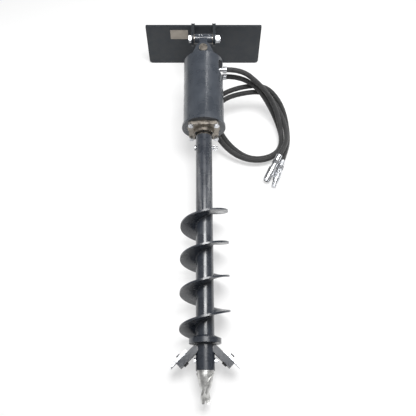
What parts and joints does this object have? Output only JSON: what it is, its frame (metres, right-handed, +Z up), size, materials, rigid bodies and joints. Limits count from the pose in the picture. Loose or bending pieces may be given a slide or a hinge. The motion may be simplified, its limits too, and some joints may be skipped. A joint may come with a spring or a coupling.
{
  "type": "earth auger drive",
  "caption": "Hydraulic earth auger drive on a swinging hitch with a mount plate, a helical auger with toothed cutting head, and a pair of hoses ending in quick couplers, lying on the ground",
  "frame": {"origin": "centre of the mount plate's flat rear face, the face that is welded or bolted to the machine's bracket", "axes": "+X along the plate's width, +Y out of its rear face towards the machine, +Z up; the auger points along -Y"},
  "size_m": [0.7658, 1.8897, 0.3674],
  "materials": {
    "plate_paint": "dark blue-black powder coat",
    "hood_paint": "semi-gloss anthracite enamel",
    "auger_paint": "semi-gloss dark blue-grey enamel",
    "zinc_steel": "bright zinc plating",
    "machined_steel": "turned and milled, lightly oiled",
    "motor_cast": "dark painted casting",
    "black_steel": "black oxide",
    "bronze_bush": "plain bearing bronze",
    "cast_bit": "bright shot-blasted casting",
    "seal_rubber": "black oil seal rubber",
    "hose_sleeve": "woven black protective sleeve"
  },
  "bodies": {
    "frame": {"mount_plate": "plate_paint", "hitch_ear_left": "plate_paint", "hitch_ear_right": "plate_paint", "pitch_bolt": "zinc_steel", "pitch_nut": "zinc_steel"},
    "link": {"link_casting": "hood_paint", "link_bush": "bronze_bush", "thrust_washers": "machined_steel", "grease_nipples": "zinc_steel"},
    "drive": {"hanger_ear_upper": "hood_paint", "hanger_ear_lower": "hood_paint", "swing_pin": "machined_steel", "swing_collar": "machined_steel", "swing_collar_pin": "machined_steel", "hood_cap": "hood_paint", "hood_tube": "hood_paint", "base_ring": "hood_paint", "motor_cover": "motor_cast", "valve_housing": "motor_cast", "rotor_ring": "motor_cast", "front_housing": "motor_cast", "motor_bolts": "black_steel", "port_adapters": "zinc_steel", "drive_ferrules": "zinc_steel", "gearbox_adapter": "machined_steel", "ring_gear": "machined_steel", "bearing_housing": "machined_steel", "output_bearings": "machined_steel", "bearing_spacer": "machined_steel", "flange_bolts": "zinc_steel", "seal_cap": "machined_steel", "cap_bolts": "black_steel", "shaft_seal": "seal_rubber", "hose_a": "hose_sleeve", "hose_b": "hose_sleeve", "coupler_ferrules": "zinc_steel", "coupler_socket": "zinc_steel", "coupler_plug": "zinc_steel"},
    "sleeve": {"coupler_sleeve": "zinc_steel"},
    "sun": {"sun_shaft": "machined_steel"},
    "auger": {"carrier_shaft": "machined_steel", "planet_pins": "machined_steel", "auger_tube": "auger_paint", "auger_flight": "auger_paint", "cross_pin": "zinc_steel", "lynch_pin": "zinc_steel", "cutter_collar": "auger_paint", "tooth_holder_right": "auger_paint", "tooth_holder_left": "auger_paint", "tooth_right": "zinc_steel", "tooth_left": "zinc_steel", "tooth_bolts": "black_steel", "pilot_bit": "cast_bit", "bit_bolt": "zinc_steel", "bit_nut": "zinc_steel"},
    "planet_1": {"planet_gear_1": "machined_steel"},
    "planet_2": {"planet_gear_2": "machined_steel"},
    "planet_3": {"planet_gear_3": "machined_steel"}
  },
  "joints": [
    {"name": "pitch", "type": "hinge", "parent": "frame", "child": "link", "pos_m": [0, -0.132, 0.1565], "axis": [1, 0, 0], "range_deg": [-20, 80]},
    {"name": "swing", "type": "hinge", "parent": "link", "child": "drive", "pos_m": [0, -0.22929, 0.14473], "axis": [0, -0.1201, 0.9928], "range_deg": [-15, 15]},
    {"name": "auger_spin", "type": "hinge", "parent": "drive", "child": "auger", "pos_m": [0.00438, -0.72764, 0.08442], "axis": [0.0087, -0.9927, -0.1201], "continuous": true},
    {"name": "sun_spin", "type": "hinge", "parent": "drive", "child": "sun", "pos_m": [0.00241, -0.50328, 0.11157], "axis": [0.0087, -0.9927, -0.1201], "continuous": true},
    {"name": "planet_1_spin", "type": "hinge", "parent": "auger", "child": "planet_1", "pos_m": [0.00241, -0.50815, 0.15178], "axis": [0.0087, -0.9927, -0.1201], "continuous": true},
    {"name": "planet_2_spin", "type": "hinge", "parent": "auger", "child": "planet_2", "pos_m": [-0.03266, -0.50115, 0.09143], "axis": [0.0087, -0.9927, -0.1201], "continuous": true},
    {"name": "planet_3_spin", "type": "hinge", "parent": "auger", "child": "planet_3", "pos_m": [0.03748, -0.50054, 0.0915], "axis": [0.0087, -0.9927, -0.1201], "continuous": true},
    {"name": "sleeve_slide", "type": "slide", "parent": "drive", "child": "sleeve", "axis": [0.4747, 0.8323, 0.2861], "range_m": [0, 0.008]}
  ],
  "couplings": [
    {"joint": "sun_spin", "follows": "auger_spin", "ratio": 4.5},
    {"joint": "planet_1_spin", "follows": "auger_spin", "ratio": -2.8},
    {"joint": "planet_2_spin", "follows": "auger_spin", "ratio": -2.8},
    {"joint": "planet_3_spin", "follows": "auger_spin", "ratio": -2.8}
  ]
}
